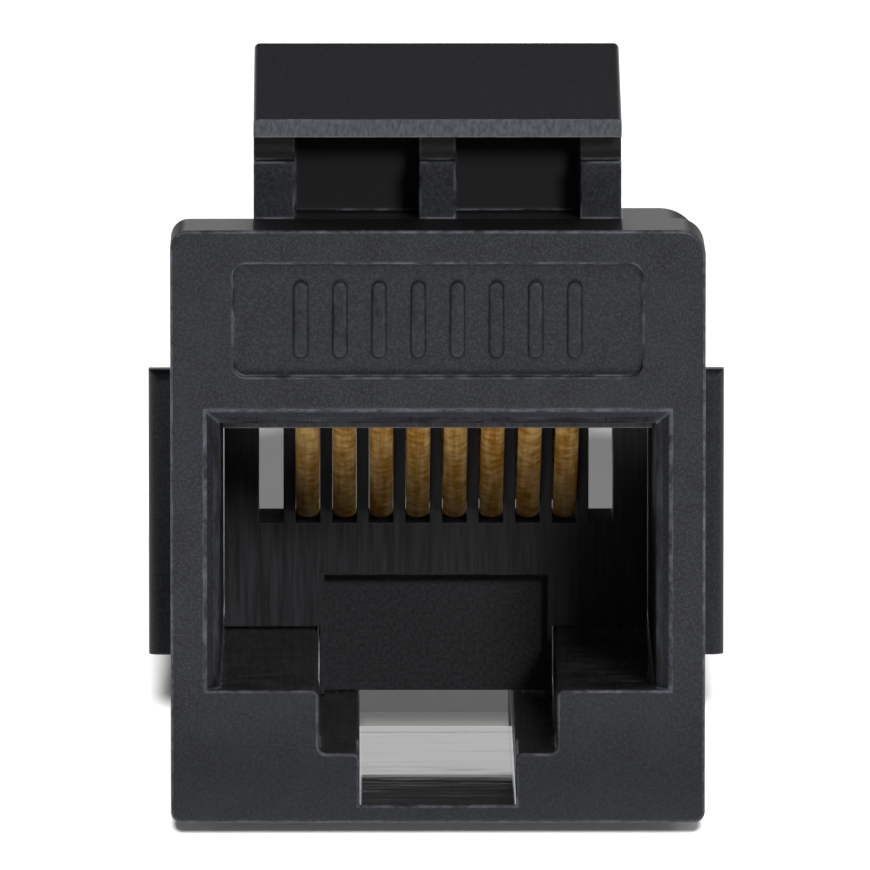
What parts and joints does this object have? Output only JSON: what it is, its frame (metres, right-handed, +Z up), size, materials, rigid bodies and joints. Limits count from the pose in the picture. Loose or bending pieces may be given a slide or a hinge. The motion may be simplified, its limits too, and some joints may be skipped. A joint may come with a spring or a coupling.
{
  "type": "keystone jack coupler",
  "caption": "Snap-in inline coupler with a modular socket at each end, spring wire contacts and a flexing release latch.",
  "frame": {"origin": "under the middle of the part, on the plane that its lower catch and stops rest on", "axes": "+Z up through the release latch, -Y out of the marked front face, +X to the right as seen from the front; Y runs through both sockets"},
  "size_m": [0.016, 0.027, 0.0213],
  "materials": {
    "housing_plastic": "fine textured black, moulded",
    "latch_plastic": "smooth black, moulded, rubbed at the lip",
    "block_plastic": "smooth black, moulded",
    "board_laminate": "solder mask over glass laminate",
    "gold_wire": "gold-plated spring wire"
  },
  "bodies": {
    "housing": {"front_housing": "housing_plastic", "rear_housing": "housing_plastic", "circuit_board": "board_laminate", "front_contact_block": "block_plastic", "rear_contact_block": "block_plastic", "front_contact_1": "gold_wire", "front_contact_2": "gold_wire", "front_contact_3": "gold_wire", "front_contact_4": "gold_wire", "front_contact_5": "gold_wire", "front_contact_6": "gold_wire", "front_contact_7": "gold_wire", "front_contact_8": "gold_wire", "rear_contact_1": "gold_wire", "rear_contact_2": "gold_wire", "rear_contact_3": "gold_wire", "rear_contact_4": "gold_wire", "rear_contact_5": "gold_wire", "rear_contact_6": "gold_wire", "rear_contact_7": "gold_wire", "rear_contact_8": "gold_wire"},
    "latch": {"release_latch": "latch_plastic"}
  },
  "joints": [
    {"name": "latch_flex", "type": "hinge", "parent": "housing", "child": "latch", "pos_m": [0, -0.0099, 0.01959], "axis": [-1, 0, 0], "range_deg": [0, 12], "stiffness_Nm_per_rad": 0.05}
  ]
}
